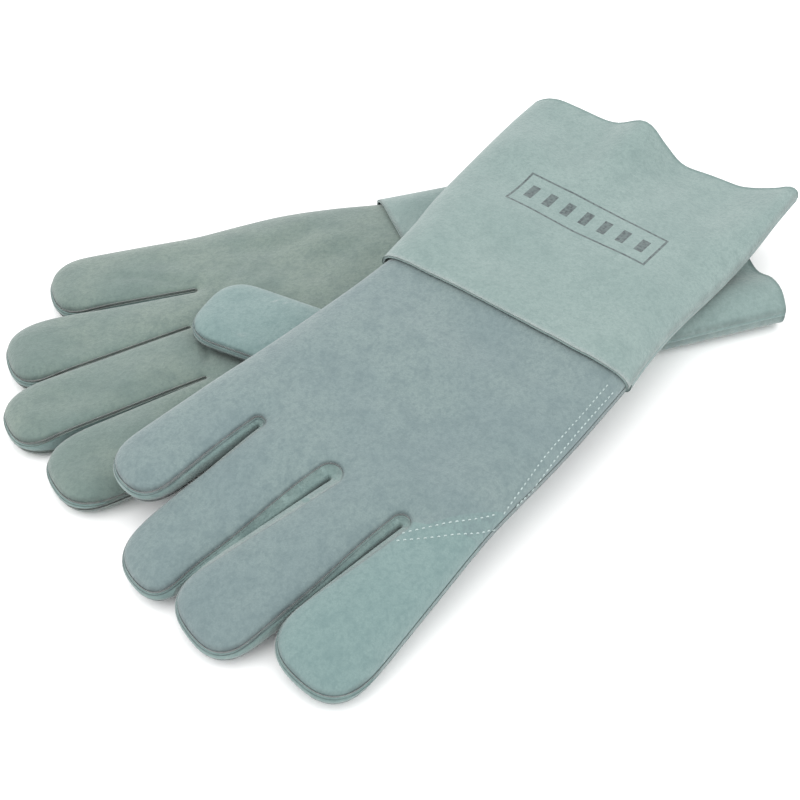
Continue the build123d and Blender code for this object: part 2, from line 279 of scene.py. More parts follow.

# Colours of each leather: main, cloudy patches, and dark pores, whose colour at 0.42 times is also the
# painted shade in the seam grooves; all are scaled by TONE.
TONE = 0.755
HAND_COLOURS = {
    "left": ((0.19, 0.26, 0.236), (0.244, 0.31, 0.268), (0.135, 0.192, 0.178)),
    "right": ((0.222, 0.294, 0.298), (0.25, 0.325, 0.318), (0.15, 0.212, 0.222)),
}
INDEX_COLOURS = ((0.232, 0.335, 0.325), (0.255, 0.355, 0.345), (0.16, 0.25, 0.25))
CUFF_COLOURS = ((0.268, 0.362, 0.345), (0.3, 0.395, 0.375), (0.19, 0.272, 0.262))
STRIP_COLOURS = ((0.235, 0.335, 0.32), (0.275, 0.375, 0.355), (0.155, 0.235, 0.23))
INK = (0.035, 0.045, 0.05)
SEAM_THREAD = (0.42, 0.51, 0.5)
CUFF_THREAD = (0.36, 0.44, 0.42)
COTTON_COLOURS = ((0.62, 0.6, 0.55), (0.74, 0.72, 0.67))

# The ink mark, in metres: how far it is from the wrist seam, half its length and width, the line's
# half width, half the pitch and half the size of its bars, and their clearance from the frame.
MARK_PLACE = 0.0705
MARK_HALF = (0.0115, 0.037)
MARK_LINE = 0.00055
BAR_PITCH = 0.005
BAR_HALF = (0.0048, 0.0021)
MARK_MARGIN = 0.003
# The index finger's seam as a line in plan, (u share, v share), and where its two leathers change.
SEAM_ACROSS = (0.616, 0.788)
SEAM_CHANGE = (0.1038, 0.1043)

# Stage: floor just under the leather, lights as (name, place, size, power), and the camera.
FLOOR_HALF = 3.0
FLOOR_HEIGHT = -0.0004
FLOOR_WHITE = 0.97
WORLD_LIGHT = 1.3
LIGHTS = (("key", (-0.5, -0.2, 1.4), 1.4, 9.0), ("fill", (0.9, -0.9, 1.0), 1.4, 4.8))
AZIMUTH, ELEVATION, ROLL = -17.04, 45.07, -1.02
CAMERA_AIM = (-0.0252, -0.0157, 0.015)
CAMERA_DISTANCE = 0.6201
CAMERA_LENS = 64.34


def smooth(t):
    """An eased step from 0 to 1."""
    t = np.clip(t, 0, 1)
    return t * t * (3 - 2 * t)


def rounded(t, power):
    """A rounded edge that rises from 0 to 1."""
    return (1 - (1 - np.clip(t, 0, 1)) ** power) ** (1 / power)


def swell(seam, full, e, width, power):
    """Height of a leaf e inside its seam: from just above the seam to its full height over a width."""
    low = seam + SEAM_LIP
    return low + (full - low) * rounded(e / width, power)


def fall(x):
    """A slope of one past zero, eased in on either side."""
    return np.where(x > EASE, x, np.where(x > -EASE, (x + EASE) ** 2 / (4 * EASE), 0))


def wobble(points, seed, length, size):
    """A soft unevenness of the leather: a few long waves with fixed directions."""
    rng = np.random.default_rng(seed)
    total = np.zeros(len(points))
    for _ in range(9):
        turn, phase = rng.uniform(0, 2 * math.pi, 2)
        wave = length * rng.uniform(0.7, 1.8)
        along = points[:, 0] * math.cos(turn) + points[:, 1] * math.sin(turn)
        total += np.sin(2 * math.pi * along / wave + phase)
    return size * total / 3


def waves(side, at, fine=1.0):
    """The upper leaf's long and short waves, which run on from the hand into the cuff."""
    long, short = WAVE_SEEDS[side]
    return wobble(at, long, *LONG_WAVE) + wobble(at, short, *SHORT_WAVE) * fine


def spline(points, step):
    """Points close together on a smooth curve through the given ones."""
    p = np.array(points, float)
    p = np.vstack([2 * p[0] - p[1], p, 2 * p[-1] - p[-2]])
    out = []
    for i in range(1, len(p) - 2):
        n = max(2, int(np.linalg.norm(p[i + 1] - p[i]) / step))
        t = (np.arange(n) / n)[:, None]
        a, b, c, d = p[i - 1 : i + 3]
        bent = (2 * a - 5 * b + 4 * c - d) * t**2 + (3 * b - a - 3 * c + d) * t**3
        out.append(0.5 * (2 * b + (c - a) * t + bent))
    return np.vstack(out + [p[-2:-1]])


def to_segments(at, a, b):
    """Distance from each point to each segment from a to b, and where along it the nearest spot is."""
    d = b - a
    p = at[:, None, :]
    t = np.clip(((p - a) * d).sum(2) / (d * d).sum(1), 0, 1)
    return np.linalg.norm(p - a - t[..., None] * d, axis=2), t


def tangent_angle(a, ra, b, rb):
    """Heading of the line that leaves circle a and meets circle b; a radius below zero turns left."""
    d = b - a
    return math.atan2(d[1], d[0]) - math.asin((ra - rb) / np.linalg.norm(d))


def left_of(angle):
    return np.array([-math.sin(angle), math.cos(angle)])


def round_path(circles, kinds, closed, step=0.3):
    """The outline that runs round a chain of circles, with the kind of each stretch."""
    n = len(circles)
    c = [np.array(x[:2], float) for x in circles]
    r = [x[2] for x in circles]
    count = n if closed else n - 1
    heads = [tangent_angle(c[i], r[i], c[(i + 1) % n], r[(i + 1) % n]) for i in range(count)]
    points, tags = [], []
    for i in range(n):
        has_in, has_out = closed or i > 0, closed or i < n - 1
        if has_in and has_out and abs(r[i]) > 0:
            a0, a1 = heads[(i - 1) % n if closed else i - 1], heads[i]
            turn = (a0 - a1) % (2 * math.pi) if r[i] > 0 else -((a1 - a0) % (2 * math.pi))
            m = max(6, int(abs(turn * r[i]) / step))
            for t in np.linspace(0, 1, m, endpoint=False):
                points.append(c[i] + r[i] * left_of(a0 - turn * t))
                tags.append(kinds[i][0])
        if has_out:
            j = (i + 1) % n
            p, q = c[i] + r[i] * left_of(heads[i]), c[j] + r[j] * left_of(heads[i])
            m = max(2, int(np.linalg.norm(q - p) / step))
            for t in np.linspace(0, 1, m, endpoint=False):
                points.append(p + (q - p) * t)
                tags.append(kinds[i][1])
    return np.array(points), tags


def resample(points, values, step, closed):
    """Evenly enough spaced points on an outline: step gives the wanted distance at each point."""
    if closed:
        points = np.vstack([points, points[:1]])
        values, step = np.vstack([values, values[:1]]), np.append(step, step[0])
    gaps = np.linalg.norm(np.diff(points, axis=0), axis=1)
    along = np.concatenate([[0], np.cumsum(gaps / ((step[1:] + step[:-1]) / 2))])
    n = int(round(along[-1]))
    at = np.linspace(0, along[-1], n + 1)
    if closed:
        at = at[:-1]
    return tuple(np.stack([np.interp(at, along, column) for column in x.T], 1) for x in (points, values))


def soften(values, width, closed):
    """A running average over the samples of an outline."""
    k = np.exp(-0.5 * (np.arange(-3 * width, 3 * width + 1) / width) ** 2)
    k /= k.sum()
    mode = "wrap" if closed else "edge"
    padded = np.pad(values, ((3 * width, 3 * width), (0, 0)), mode=mode)
    return np.stack([np.convolve(padded[:, j], k, "valid") for j in range(values.shape[1])], 1)


def blunt(centre, radius, along, far=TIP_BLUNT):
    """Two corner circles that stand in for one tip circle, so that the tip is a little square."""
    along = along / np.linalg.norm(along)
    across = np.array([-along[1], along[0]])
    return [
        (*(centre + along * share * radius + turn * across * share * radius), radius - share * radius)
        for turn, share in ((1, TIP_BLUNT), (-1, far))
    ]


class Outline:
    """A seam line in plan: its points, inward directions, strip half height and seam inset."""

    def __init__(self, points, seams, closed):
        self.closed = closed
        self.points = points
        self.height, self.inset = seams[:, 0], seams[:, 1]
        if closed:
            ahead, behind = np.roll(points, -1, 0), np.roll(points, 1, 0)
        else:
            ahead = np.vstack([points[1:], 2 * points[-1] - points[-2]])
            behind = np.vstack([2 * points[0] - points[1], points[:-1]])
        d = ahead - behind
        d /= np.linalg.norm(d, axis=1)[:, None]
        self.inward = np.stack([d[:, 1], -d[:, 0]], 1)
        if not closed:
            self.inward[0], self.inward[-1] = (0, -1), (0, 1)

    def ring(self, e):
        return self.points + self.inward * np.asarray(e).reshape(-1, 1)

    def reach(self, at):
        """Distance from the outline, and the seam height and inset beside it, for plan points."""
        a = self.points
        b = np.roll(a, -1, 0) if self.closed else a[1:]
        a = a if self.closed else a[:-1]
        best = np.full(len(at), 1e9)
        which = np.zeros(len(at), int)
        for i in range(0, len(at), BATCH):
            far, _ = to_segments(at[i : i + BATCH], a, b)
            which[i : i + BATCH] = far.argmin(1)
            best[i : i + BATCH] = far.min(1)
        return best, self.height[which], self.inset[which]


class Glove:
    """One glove's plan frame, knuckles, fingertips, thumb and seam line."""

    def __init__(self, side):
        self.side = side
        joints = {j["name"]: j for j in frame["joints"]}
        fold = joints[f"{side}_cuff_fold"]
        hinges = [next(j for j in frame["joints"] if j["child"] == f"{side}_{f}") for f in FINGERS]
        self.v = np.array(fold["axis"], float)
        middle = np.mean([j["pos_m"] for j in hinges], axis=0)
        u = middle - np.array(fold["pos_m"])
        u -= (u @ self.v) * self.v
        self.u = u / np.linalg.norm(u)
        self.w = np.cross(self.u, self.v)
        self.origin = np.array(fold["pos_m"]) / MM - HALF_HAND * self.w
        at = [self.plan(np.array(j["pos_m"]) / MM)[:2] for j in hinges]
        way = [np.array([np.array(j["axis"]) @ self.u, np.array(j["axis"]) @ self.v]) for j in hinges]
        meet = []
        for i in range(3):
            m = np.stack([way[i], -way[i + 1]], 1)
            crotch = at[i] + way[i] * np.linalg.solve(m, at[i + 1] - at[i])[0]
            meet.append(crotch + CROTCH_SHIFT[side][i])
        self.knuckles = [2 * at[0] - meet[0], *meet, 2 * at[3] - meet[2]]
        self.across = []
        for k in range(4):
            d = self.knuckles[k + 1] - self.knuckles[k]
            n = np.array([-d[1], d[0]]) / np.linalg.norm(d)
            self.across.append(n if n[0] > 0 else -n)
        self.tips = [self.blunt_tip(k) for k in range(4)]
        self.gaps = [self.gap_way(k) for k in range(3)]
        thumb = joints[f"{side}_thumb_swing"]
        self.thumb_root = self.plan(np.array(thumb["pos_m"]) / MM)
        axis = np.array(thumb["axis"], float)
        axis = np.array([axis @ self.u, axis @ self.v])
        self.thumb_side = axis / np.linalg.norm(axis) * (1 if axis[1] > 0 else -1)
        self.thumb_way = np.array([self.thumb_side[1], -self.thumb_side[0]])
        self.outline = self.hand_outline()

    def blunt_tip(self, k):
        """The two corner circles of a fingertip, index side first."""
        u, v, r = TIPS[self.side][k]
        root = (self.knuckles[k] + self.knuckles[k + 1]) / 2
        return blunt(np.array([u, v]), r, np.array([u, v]) - root, LITTLE_BLUNT if k == 3 else TIP_BLUNT)

    def gap_way(self, k):
        """Which way the gap between finger k and the next runs, midway between their sides."""
        way = np.array([1.0, 0.0])
        r = CROTCH_RADIUS[self.side][k]
        for _ in range(4):
            crotch = self.knuckles[k + 1] + way * r
            near, far = self.tips[k][1], self.tips[k + 1][0]
            back = tangent_angle(np.array(near[:2]), near[2], crotch, -r)
            out = tangent_angle(crotch, -r, np.array(far[:2]), far[2])
            way = np.array([math.cos(out) - math.cos(back), math.sin(out) - math.sin(back)])
            way /= np.linalg.norm(way)
        return way

    def plan(self, p):
        q = np.asarray(p, float) - self.origin
        return np.array([q @ self.u, q @ self.v, q @ self.w])

    def world(self, uvw):
        """Plan millimetres to metres in the row frame."""
        uvw = np.asarray(uvw, float)
        return (self.origin + uvw[..., :1] * self.u + uvw[..., 1:2] * self.v + uvw[..., 2:] * self.w) * MM

    def direction(self, d):
        return Vector(d[0] * self.u + d[1] * self.v)

    def hand_outline(self):
        """The seam line from the index side of the wrist round all fingers to the little side."""
        side = self.side
        start = spline(INDEX_SIDE[side], 0.3)
        end = spline(LITTLE_SIDE[side], 0.3)[::-1]
        circles, kinds = [(*start[-1], 0.0)], [("wrap", "wrap")]
        for k, tip in enumerate(self.tips):
            circles += tip
            kinds += [("tip", "tip"), ("tip", "between" if k < 3 else "outer")]
            if k < 3:
                r = CROTCH_RADIUS[side][k]
                circles.append((*(self.knuckles[k + 1] + self.gaps[k] * r), -r))
                kinds.append(("between", "between"))
        circles.append((*end[0], 0.0))
        kinds.append(("outer", "outer"))
        path, tags = round_path(circles, kinds, False)
        points = np.vstack([start[:-1], path, end])
        tags = ["wrap"] * (len(start) - 1) + tags + ["outer"] * len(end)
        values = np.array([SEAMS[side][t] for t in tags])
        apart = np.array([np.linalg.norm(points - k, axis=1) for k in self.knuckles[1:4]])
        gap, late = apart.argmin(0), smooth((apart.min(0) - 14) / 34)[:, None]
        graded = np.array(GAP_ROOTS[side])[gap] * (1 - late) + np.array(GAP_ENDS[side])[gap] * late
        values = np.where(np.array(tags)[:, None] == "between", graded, values)
        near = apart.min(0)
        # Samples are 0.15 mm apart at a crotch and 1.7 mm apart away from it.
        step = 0.15 + 0.6 * smooth((near - 1.2) / 3) + 0.95 * smooth((near - 4) / 8)
        points, values = resample(points, values, step, False)
        values = soften(values, 4, False)
        near = np.min([np.linalg.norm(points - k, axis=1) for k in self.knuckles[1:4]], 0)
        keep = smooth((near - 6) / 8)
        even = soften(points, 3, False)
        points = points + (even - points) * keep[:, None]
        points[0, 0] = points[-1, 0] = HAND_END
        return Outline(points, values, False)

    def finger_of(self, at):
        """The finger a plan point is on, or -1, then its band and how far past the knuckle it is."""
        band = np.zeros(len(at), int)
        for k in range(3):
            a, d = self.knuckles[k + 1], self.gaps[k]
            band += ((at[:, 0] - a[0]) * d[1] - (at[:, 1] - a[1]) * d[0] > 0).astype(int)
        beyond = np.stack([(at - self.knuckles[k]) @ self.across[k] for k in range(4)], 1)
        s = beyond[np.arange(len(at)), band]
        return np.where(s > 1e-4, band, -1), band, s

    def droop(self, at):
        """How far the fingers and cuff hang below the plane of the hand."""
        _, band, s = self.finger_of(at)
        tan = np.tan(np.radians(FINGER_DROOP[self.side]))
        own = tan[band] * fall(s)
        mid = [(self.knuckles[k][1] + self.knuckles[k + 1][1]) / 2 for k in range(4)]
        shared = np.interp(at[:, 1], mid[::-1], tan[::-1]) * fall(s)
        down = own + (shared - own) * smooth(-s / 8)
        down += math.tan(math.radians(CUFF_DROOP[self.side])) * fall(-at[:, 0] - 2)
        return down

    def top(self, at, e, seam, inset):
        """Height of the upper leaf over plan points that are e from the outline."""
        roll = np.interp(at[:, 0], *TOP_ROLL)
        full = np.interp(at[:, 0], *TOP_HEIGHT)
        w = swell(seam, full, e - inset, roll, TOP_POWER)
        w += waves(self.side, at) * smooth((e - inset) / 14)
        if self.side == "left":
            w -= THUMB_DIP * smooth((self.under_thumb(at) + 1) / 9)
        return w + self.creases(at) * smooth((e - inset) / 5)

    def bottom(self, at, e, seam, inset):
        """The same for the lower leaf, which draws in where the cuff laps over it."""
        full = HALF_HAND - LAP_DIP * smooth((12 - at[:, 0]) / 12)
        return -swell(seam, full, e - inset, BOTTOM_ROLL, BOTTOM_POWER)

    def under_thumb(self, at):
        """How far inside the thumb's plan a point is, below zero outside it."""
        root = self.thumb_root[None, :2]
        far, _ = to_segments(at, root, root + self.thumb_way * THUMB_LENGTH)
        return THUMB_RADIUS - far[:, 0]

    def creases(self, at):
        """Height added by the folds and hollows."""
        total = np.zeros(len(at))
        for points, depth, width in CREASES[self.side]:
            line = spline(points, 3)
            far, t = to_segments(at, line[:-1], line[1:])
            i = far.argmin(1)
            run = (i + t[np.arange(len(at)), i]) / (len(line) - 1)
            fade = smooth(np.minimum(run, 1 - run) * 4)
            total += depth * fade * np.exp(-((far.min(1) / width) ** 2))
        return total


# ------------------------------------------------------------------ mesh helpers


def in_loop(at, loop):
    """Whether each plan point is inside a closed loop, and its distance from the loop."""
    inside = np.zeros(len(at), bool)
    near = np.full(len(at), 1e9)
    for p, q in zip(loop, np.roll(loop, -1, 0)):
        if abs(q[1] - p[1]) > 1e-12:
            hit = (p[1] > at[:, 1]) != (q[1] > at[:, 1])
            x = p[0] + (at[:, 1] - p[1]) * (q[0] - p[0]) / (q[1] - p[1])
            inside ^= hit & (at[:, 0] < x)
        d = q - p
        t = np.clip(((at - p) @ d) / max(d @ d, 1e-12), 0, 1)
        near = np.minimum(near, np.linalg.norm(at - p - t[:, None] * d, axis=1))
    return inside, near


def interior(boundary, spacing, keep_off):
    """Plan points on a grid inside a loop of boundary points, and the triangles that fill it."""
    lo, hi = boundary.min(0), boundary.max(0)
    rows = int((hi[1] - lo[1]) / (spacing * 0.866)) + 1
    cols = int((hi[0] - lo[0]) / spacing) + 1
    grid = []
    for r in range(rows):
        y = lo[1] + r * spacing * 0.866
        grid += [(lo[0] + (c + 0.5 * (r % 2)) * spacing, y) for c in range(cols)]
    grid = np.array(grid)
    inside, near = in_loop(grid, boundary)
    grid = grid[inside & (near > keep_off)]
    n = len(boundary)
    edges = [(i, (i + 1) % n) for i in range(n)]
    made = delaunay_2d_cdt([Vector(p) for p in np.vstack([boundary, grid])], edges, [], 1, 1e-6, True)
    out, source = np.array([tuple(p) for p in made[0]]), made[3]
    order = {}
    for i, s in enumerate(source):
        for x in s:
            order[x] = i
    triangles = np.array([tuple(t) for t in made[2]])
    kept, _ = in_loop(out[triangles].mean(1), boundary)
    return out, triangles[kept], [order[i] for i in range(n)]


def grid_faces(rows, cols, flip, closed=False):
    """The four-sided faces of a grid of points, row by row; closed joins the last column to the first."""
    faces = []
    for r in range(rows - 1):
        for c in range(cols if closed else cols - 1):
            d = (c + 1) % cols
            f = (r * cols + c, r * cols + d, (r + 1) * cols + d, (r + 1) * cols + c)
            faces.append(tuple(reversed(f)) if flip else f)
    return faces


def leaf(outline, height, upper, offsets=FINE, spacing=LEAF_SPACING):
    """The outer surface of one leaf: rolled edge rows, then an even fill. Returns points and faces."""
    seam, inset = outline.height, outline.inset
    sign = 1 if upper else -1
    rings, heights, edges = [], [], []
    # No painted seam shade shows where the strip is very thin, and little of it where it is broad beside a
    # gap.
    valley = 0.6 * smooth((seam - 4.3) / 0.5) * smooth((1.3 - inset) / 0.6)
    hidden = WRAP_PLAIN * np.maximum(smooth((0.85 - seam) / 0.4), valley)
    for j, e in enumerate(offsets):
        at = outline.ring(inset + e)
        # The first two rows tuck the leaf's edge in behind the strip.
        if j == 0:
            w = sign * np.maximum(seam - LEAF_TUCK, 0.0)
        elif j == 1:
            w = sign * (seam + EDGE_LIP)
        else:
            w = height(at, inset + e, seam, inset)
        if not outline.closed:
            at[0, 0] = at[-1, 0] = HAND_END
        rings.append(at)
        heights.append(w)
        edges.append(e + hidden)
    n = len(outline.points)
    points = np.vstack(rings)
    w = np.concatenate(heights)
    edge = np.concatenate(edges)
    faces = grid_faces(len(offsets), n, False, outline.closed)
    loop = rings[-1]
    if not outline.closed:
        m = int(np.linalg.norm(loop[0] - loop[-1]) / spacing)
        loop = np.vstack([loop, np.linspace(loop[-1], loop[0], m + 1)[1:-1]])
    fill, triangles, order = interior(loop, spacing, spacing / 2)
    index = {x: len(points) - n + i for i, x in enumerate(order[:n])}
    new = [i for i in range(len(fill)) if i not in index]
    index |= {x: len(points) + i for i, x in enumerate(new)}
    at = fill[new]
    e, s, d = outline.reach(at)
    if not outline.closed:
        e = np.maximum(e, offsets[-1])
    points = np.vstack([points, at])
    w = np.concatenate([w, height(at, e, s, d)])
    edge = np.concatenate([edge, e - d])
    faces += [tuple(index[x] for x in t) for t in triangles]
    return oriented(points, w, faces, upper), edge


def oriented(points, w, faces, upper):
    """All faces turned so that the leaf's outer side shows: up for an upper leaf, else down."""
    p = np.column_stack([points, w])
    out = []
    for f in faces:
        q = p[list(f)]
        area = sum(q[i - 1, 0] * q[i, 1] - q[i, 0] * q[i - 1, 1] for i in range(len(f)))
        out.append(tuple(f) if (area > 0) == upper else tuple(reversed(f)))
    return p, out


def strip(outline, rows=9):
    """The outer surface of the band between the two leaves, from upper seam to lower seam."""
    p = []
    power = 2.2 + 4.0 * smooth((outline.height - 3) / 1.5)
    for a in np.linspace(1, -1, rows):
        e = outline.inset * abs(a) ** power + 0.7 * max(0.0, abs(a) - 0.82) / 0.18
        p.append(np.column_stack([outline.ring(e), outline.height * a]))
    return np.vstack(p), grid_faces(rows, len(outline.points), False, outline.closed)


def with_thickness(points, faces, thickness, attributes):
    """A closed thin shell: the outer surface, an inner copy and the rim that joins them."""
    mesh = bpy.data.meshes.new("tmp")
    mesh.from_pydata([tuple(x) for x in points], [], faces)
    normals = np.zeros(len(points) * 3)
    mesh.vertex_normals.foreach_get("vector", normals)
    bpy.data.meshes.remove(mesh)
    normals = normals.reshape(-1, 3)
    n = len(points)
    inner = points - normals * thickness
    edges = {}
    for f in faces:
        for i in range(len(f)):
            edges[(f[i - 1], f[i])] = True
    rim = [(a, a + n, b + n, b) for a, b in edges if (b, a) not in edges]
    all_faces = list(faces) + [tuple(x + n for x in reversed(f)) for f in faces]
    all_faces += [tuple(reversed(f)) for f in rim]
    doubled = {k: np.concatenate([a, a]) for k, a in attributes.items()}
    return np.vstack([points, inner]), all_faces, doubled


def plain_shell(points, faces, thickness):
    """A strip's thin shell, on which no painted seam shade shows."""
    return with_thickness(points, faces, thickness, {"edge": np.full(len(points), WRAP_PLAIN)})


def to_bmesh(glove, points, faces, attributes, flat=None):
    """Puts plan points into the row frame, with their plan place kept for the materials."""
    down = glove.droop(points[:, :2]) if flat is None else flat
    placed = glove.world(np.column_stack([points[:, :2], points[:, 2] - down]))
    bm = bmesh.new()
    rest = bm.verts.layers.float_vector.new("rest")
    layers = {k: bm.verts.layers.float.new(k) for k in attributes}
    verts = []
    for i, p in enumerate(placed):
        v = bm.verts.new(p)
        v[rest] = Vector(points[i] * MM)
        for k, layer in layers.items():
            v[layer] = float(attributes[k][i])
        verts.append(v)
    for f in faces:
        if len(set(f)) > 2:
            try:
                bm.faces.new([verts[i] for i in f])
            except ValueError:
                continue
    for f in bm.faces:
        f.smooth = True
    bm.normal_update()
    return bm


def keep_together(bm, owner):
    """A stray patch of a finger, cut off by the dividing line, goes to the neighbour it is sewn to."""
    bm.faces.index_update()
    patch = np.full(len(owner), -1)
    patches = []
    for first in bm.faces:
        if patch[first.index] >= 0:
            continue
        patch[first.index] = len(patches)
        found, turn = [first], 0
        while turn < len(found):
            for e in found[turn].edges:
                for g in e.link_faces:
                    if patch[g.index] < 0 and owner[g.index] == owner[first.index]:
                        patch[g.index] = len(patches)
                        found.append(g)
            turn += 1
        patches.append(found)
    for k in range(4):
        mine = sorted((p for p in patches if owner[p[0].index] == k), key=len)
        for stray in mine[:-1]:
            if len(stray) > STRAY * len(mine[-1]):
                continue
            around = [g.index for f in stray for e in f.edges for g in e.link_faces]
            beside = [owner[i] for i in around if owner[i] != k]
            if beside:
                owner[[f.index for f in stray]] = max(set(beside), key=beside.count)
    return owner


def pieces_of(glove, bm, names):
    """Cuts a mesh at the knuckle lines into objects; names go by finger, with -1 for the hand."""
    for k in range(4):
        spot = Vector(glove.world(np.array([*glove.knuckles[k], 0.0])))
        bmesh.ops.bisect_plane(
            bm,
            geom=list(bm.verts) + list(bm.edges) + list(bm.faces),
            dist=1e-7,
            plane_co=spot,
            plane_no=glove.direction(glove.across[k]),
        )
    bm.normal_update()
    bm.verts.index_update()
    rest = bm.verts.layers.float_vector["rest"]
    centres = np.array([np.mean([tuple(v[rest])[:2] for v in f.verts], axis=0) for f in bm.faces]) / MM
    finger = keep_together(bm, np.array(glove.finger_of(centres)[0]))
    made = {}
    for k, name in names.items():
        chosen = [f for f, x in zip(bm.faces, finger) if x == k]
        if chosen:
            made[k] = object_from(name, chosen, bm)
    bm.free()
    return made


def put_in_scene(name, data):
    obj = bpy.data.objects.new(name, data)
    bpy.context.scene.collection.objects.link(obj)
    return obj


def object_from(name, faces, bm):
    """An object of the given faces, with its attributes and the uncut mesh's normals."""
    verts = sorted({v for f in faces for v in f.verts}, key=lambda v: v.index)
    index = {v: i for i, v in enumerate(verts)}
    mesh = bpy.data.meshes.new(name)
    mesh.from_pydata([tuple(v.co) for v in verts], [], [[index[v] for v in f.verts] for f in faces])
    for layer in bm.verts.layers.float.values():
        a = mesh.attributes.new(layer.name, "FLOAT", "POINT")
        a.data.foreach_set("value", np.array([v[layer] for v in verts], np.float32))
    rest = bm.verts.layers.float_vector["rest"]
    a = mesh.attributes.new("rest", "FLOAT_VECTOR", "POINT")
    a.data.foreach_set("vector", np.array([tuple(v[rest]) for v in verts], np.float32).ravel())
    mesh.shade_smooth()
    mesh.normals_split_custom_set_from_vertices([tuple(v.normal) for v in verts])
    return put_in_scene(name, mesh)


def one_piece(name, glove, points, faces, attributes, flat=None):
    """An object that isn't cut; flat=0 leaves out the droop of the fingers and cuff."""
    bm = to_bmesh(glove, points, faces, attributes, flat)
    bm.verts.index_update()
    obj = object_from(name, list(bm.faces), bm)
    bm.free()
    return obj


def finger_bend(glove, obj, k):
    """A finger piece stays with the hand at its knuckle line and turns with the finger beyond it."""
    mid = (glove.knuckles[k] + glove.knuckles[k + 1]) / 2
    start = Vector(glove.world(np.array([*mid, 0.0])))
    end = start + glove.direction(glove.across[k]) * FINGER_BEND * MM
    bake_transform(obj, f"{glove.side}_hand", f"{glove.side}_{FINGERS[k]}", start, end)


def attach(glove, obj, k):
    """Part of the hand for k below zero, else of finger k."""
    if k < 0:
        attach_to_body(obj, f"{glove.side}_hand")
    else:
        finger_bend(glove, obj, k)


def by_part(side, ending):
    """Names of the pieces of one layer, by finger, with -1 for the hand."""
    return {-1: f"{side}_hand_{ending}"} | {k: f"{side}_{f}_{ending}" for k, f in enumerate(FINGERS)}


def dress(obj, material, slot, node):
    """Gives a piece its material, in place of one CAD node; the slot is not used."""
    obj.data.materials.append(material)
    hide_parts(node)


# ------------------------------------------------------------------ materials


def node_tree(name):
    material = bpy.data.materials.new(name)
    material.use_nodes = True
    tree = material.node_tree
    shader = tree.nodes["Principled BSDF"]
    return material, tree, shader


def put(tree, node, values):
    """Sets a node's inputs, or links those whose value is the output of another node."""
    for key, value in values.items():
        if isinstance(value, bpy.types.NodeSocket):
            tree.links.new(value, node.inputs[key])
        else:
            node.inputs[key].default_value = value
    return node


def noise_node(tree, vector, scale, detail, rough):
    values = {"Vector": vector, "Scale": scale, "Detail": detail, "Roughness": rough}
    return put(tree, tree.nodes.new("ShaderNodeTexNoise"), values).outputs["Fac"]


def ramp(tree, fac, low, high, a, b):
    n = tree.nodes.new("ShaderNodeMapRange")
    n.interpolation_type = "SMOOTHSTEP"
    put(tree, n, {"Value": fac, "From Min": low, "From Max": high, "To Min": a, "To Max": b})
    return n.outputs["Result"]


def mix(tree, fac, a, b):
    n = tree.nodes.new("ShaderNodeMix")
    n.data_type = "RGBA"
    return put(tree, n, {0: fac, 6: a, 7: b}).outputs[2]


def calc(tree, operation, *values):
    n = tree.nodes.new("ShaderNodeMath")
    n.operation = operation
    return put(tree, n, dict(enumerate(values))).outputs[0]


def plan_place(tree, where):
    """The outputs u, v and w of the leather's place in plan, in metres."""
    return put(tree, tree.nodes.new("ShaderNodeSeparateXYZ"), {0: where}).outputs


def beyond_seam(tree, where):
    """One on the index finger's side of the double seam at its root."""
    u, v, _ = plan_place(tree, where)
    reach = calc(tree, "MULTIPLY_ADD", u, SEAM_ACROSS[0], calc(tree, "MULTIPLY", v, SEAM_ACROSS[1]))
    return ramp(tree, reach, *SEAM_CHANGE, 0.0, 1.0)


def ink_mark(tree, where):
    """A plain mark in worn ink on the back of the cuff: a frame with a row of blank bars."""
    u, v, w = plan_place(tree, where)
    u = calc(tree, "ABSOLUTE", calc(tree, "ADD", u, MARK_PLACE))
    past_u = calc(tree, "SUBTRACT", u, MARK_HALF[0])
    past_v = calc(tree, "SUBTRACT", calc(tree, "ABSOLUTE", v), MARK_HALF[1])
    far = calc(tree, "MAXIMUM", past_u, past_v)
    outline = calc(tree, "LESS_THAN", calc(tree, "ABSOLUTE", far), MARK_LINE)
    along = calc(tree, "PINGPONG", calc(tree, "ADD", v, 12 * BAR_PITCH), BAR_PITCH)
    bar = calc(tree, "LESS_THAN", along, BAR_HALF[1])
    bar = calc(tree, "MULTIPLY", bar, calc(tree, "LESS_THAN", u, BAR_HALF[0]))
    bar = calc(tree, "MULTIPLY", bar, calc(tree, "LESS_THAN", far, -MARK_MARGIN))
    upper = calc(tree, "GREATER_THAN", w, 0.0)
    return calc(tree, "MULTIPLY", calc(tree, "MAXIMUM", outline, bar), upper)


def shade(colour, factor=1.0):
    return (*(factor * x for x in colour), 1.0)


def attribute(tree, name):
    n = tree.nodes.new("ShaderNodeAttribute")
    n.attribute_name = name
    return n.outputs


def bump_node(tree, height, strength, distance, normal=None):
    values = {"Height": height, "Strength": strength, "Distance": distance}
    if normal:
        values["Normal"] = normal
    return put(tree, tree.nodes.new("ShaderNodeBump"), values).outputs["Normal"]


